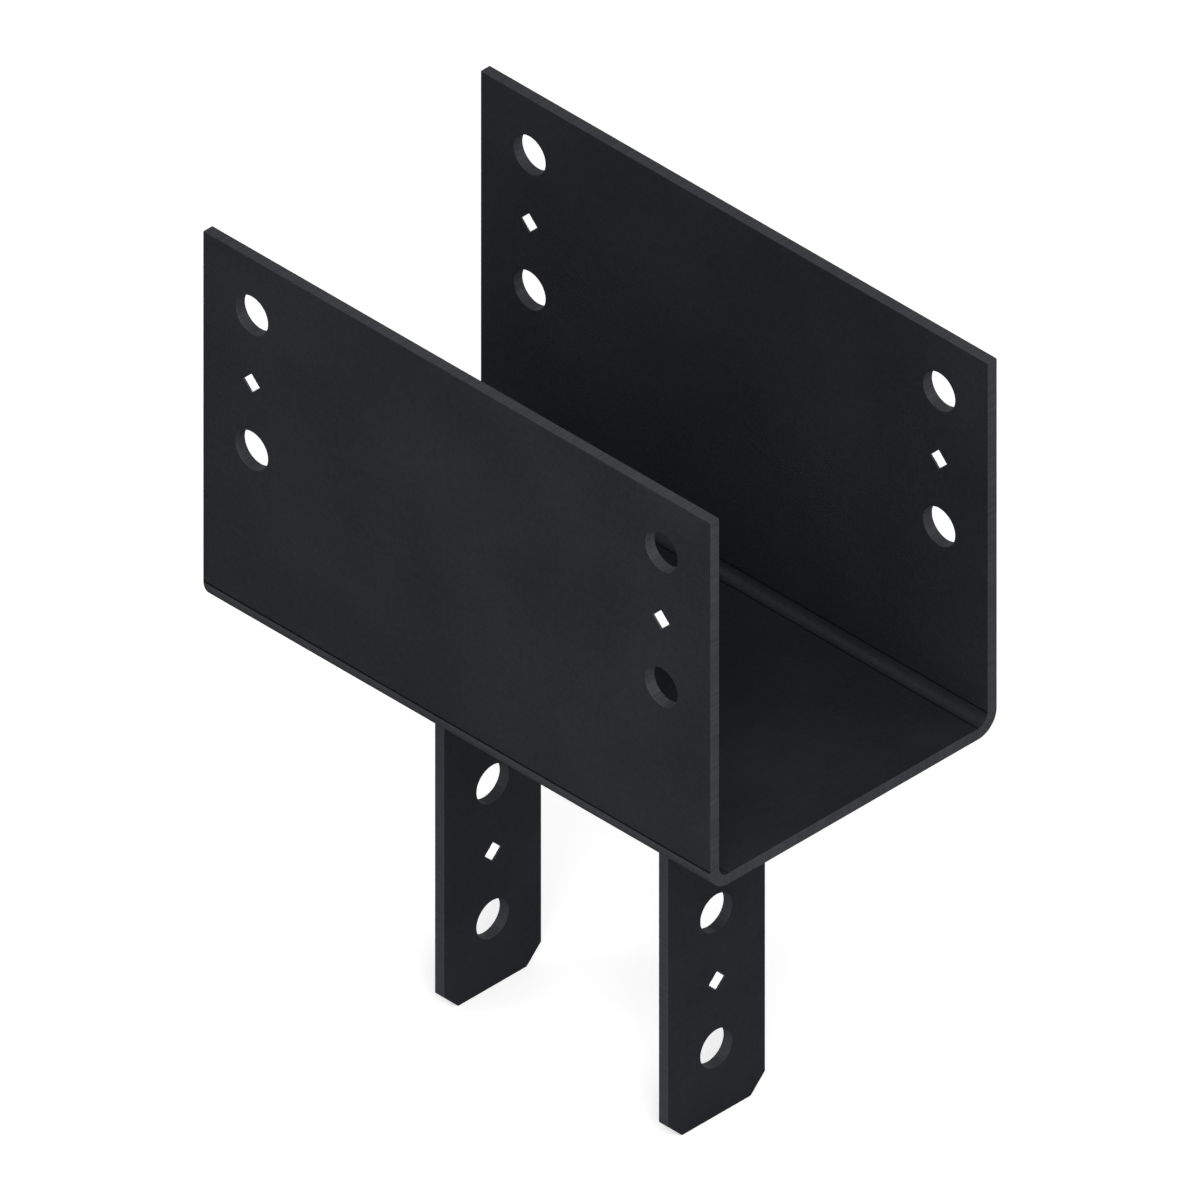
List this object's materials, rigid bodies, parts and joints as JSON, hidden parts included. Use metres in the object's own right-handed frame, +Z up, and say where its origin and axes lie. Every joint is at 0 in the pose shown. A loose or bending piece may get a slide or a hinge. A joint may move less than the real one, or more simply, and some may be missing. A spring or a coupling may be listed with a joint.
{
  "type": "column cap",
  "caption": "Welded steel column cap: a U-shaped bent-plate saddle that bolts to a beam, with straps under it that bolt to a post.",
  "frame": {"origin": "centre of the beam seat, on the top face of the saddle's floor", "axes": "+X along the beam, +Y across it, +Z up, away from the post"},
  "size_m": [0.3302, 0.1868, 0.4252],
  "materials": {
    "powder_coat": "satin",
    "coated_weld": "satin"
  },
  "bodies": {
    "root": {"saddle": "powder_coat", "strap_left": "powder_coat", "strap_right": "powder_coat", "weld_left": "coated_weld", "weld_right": "coated_weld"}
  },
  "joints": []
}
